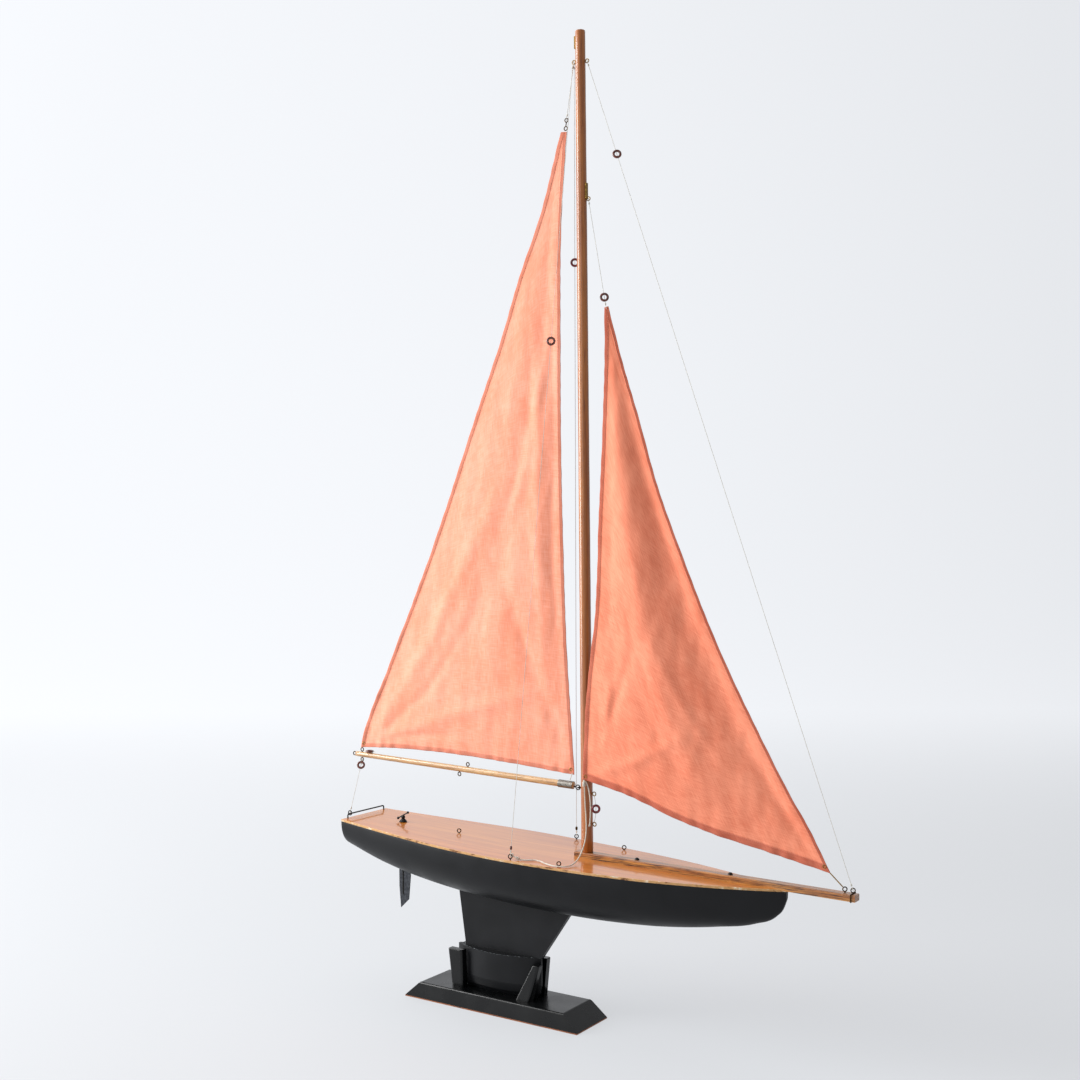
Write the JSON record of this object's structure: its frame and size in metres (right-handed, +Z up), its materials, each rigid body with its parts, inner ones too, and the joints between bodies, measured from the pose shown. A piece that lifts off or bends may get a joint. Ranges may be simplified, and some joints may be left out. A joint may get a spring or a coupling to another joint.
{
  "type": "model sailing yacht",
  "caption": "Wooden model pond yacht: black hull, varnished deck and spars, two cotton sails, cord rigging, fin keel and black display stand.",
  "frame": {"origin": "centre of the underside of the display stand", "axes": "+X towards the bow, +Y to port, +Z up along the mast"},
  "size_m": [0.8021, 0.168, 1.3534],
  "materials": {
    "hull_black": "satin enamel on wood",
    "stand_black": "semi-gloss enamel on wood",
    "sole_brown": "bare",
    "deck_varnish": "gloss varnish",
    "spar_varnish": "satin varnish",
    "inner_wood": "bare",
    "brass": "aged",
    "dark_wire": "darkened wire",
    "dark_brass": "blackened",
    "steel": "plain",
    "rudder_sheet": "dull sheet",
    "sail_cloth": "cotton",
    "line_white": "twisted cord",
    "bowsie_brown": "fibre",
    "bowsie_red": "fibre"
  },
  "bodies": {
    "stand": {"stand_base": "stand_black", "stand_sole": "sole_brown", "stand_post_aft_starboard": "stand_black", "stand_post_aft_port": "stand_black", "stand_post_fore_starboard": "stand_black", "stand_post_fore_port": "stand_black", "stand_post_screws": "steel"},
    "yacht": {"hull_shell": "hull_black", "deck": "deck_varnish", "deck_beams": "inner_wood", "mast_step_block": "inner_wood", "ballast": "hull_black", "keel_fin": "hull_black", "keel_bolts": "steel", "keel_nuts": "steel", "rudder_tube": "brass", "bowsprit": "spar_varnish", "mast": "spar_varnish", "mast_pin": "steel", "stern_horse": "dark_wire", "sheet_ring": "dark_wire", "deck_eyes": "dark_wire", "chainplate_eyes": "dark_wire", "bowsprit_screws": "dark_wire", "tack_eye": "brass", "stay_hook": "brass", "masthead_plate": "brass", "mast_eyes": "dark_wire", "jib_halyard_hook": "brass", "gooseneck_eye": "dark_wire", "shroud_starboard": "line_white", "shroud_port": "line_white", "topmast_stay": "line_white", "jib_halyard": "line_white", "jib_halyard_bowsie": "bowsie_brown", "main_halyard": "line_white", "tack_wire": "brass", "mast_foot_line": "line_white", "mast_foot_bowsie": "bowsie_red", "jib_sheet": "line_white", "jib_sheet_tail": "line_white"},
    "rudder": {"rudder_stock": "dark_brass", "rudder_blade": "rudder_sheet", "tiller_head": "dark_brass"},
    "main_boom": {"boom": "spar_varnish", "boom_link": "dark_wire", "boom_ferrule": "steel", "boom_eyes": "dark_wire", "mainsail": "sail_cloth", "mainsail_head_clip": "brass", "mainsail_tack_lashing": "line_white", "mainsheet": "line_white", "mainsheet_bowsie": "bowsie_brown", "outhaul_line": "line_white", "outhaul_bowsie": "bowsie_brown"},
    "jib": {"jib": "sail_cloth"},
    "starboard_bowsie": {"shroud_bowsie_starboard": "bowsie_brown"},
    "port_bowsie": {"shroud_bowsie_port": "bowsie_red"},
    "stay_bowsie": {"stay_bowsie": "bowsie_brown"}
  },
  "joints": [
    {"name": "yacht_lift", "type": "slide", "parent": "stand", "child": "yacht", "axis": [0, 0, 1], "range_m": [0, 0.12]},
    {"name": "rudder_turn", "type": "hinge", "parent": "yacht", "child": "rudder", "pos_m": [-0.182, 0, 0.2], "axis": [0, 0, 1], "range_deg": [-40, 40]},
    {"name": "boom_swing", "type": "hinge", "parent": "yacht", "child": "main_boom", "pos_m": [0.12927, 0, 0.3214], "axis": [0, 0, 1], "range_deg": [-35, 35]},
    {"name": "jib_swing", "type": "hinge", "parent": "yacht", "child": "jib", "pos_m": [0.487, 0, 0.2515], "axis": [-0.3981, 0, 0.9173], "range_deg": [0, 30]},
    {"name": "starboard_bowsie_slide", "type": "slide", "parent": "yacht", "child": "starboard_bowsie", "axis": [0.052, 0.0711, 0.9961], "range_m": [-0.03, 0.03]},
    {"name": "port_bowsie_slide", "type": "slide", "parent": "yacht", "child": "port_bowsie", "axis": [0.0465, -0.0707, 0.9964], "range_m": [-0.03, 0.03]},
    {"name": "stay_bowsie_slide", "type": "slide", "parent": "yacht", "child": "stay_bowsie", "axis": [-0.3257, 0, 0.9455], "range_m": [-0.03, 0.03]}
  ]
}
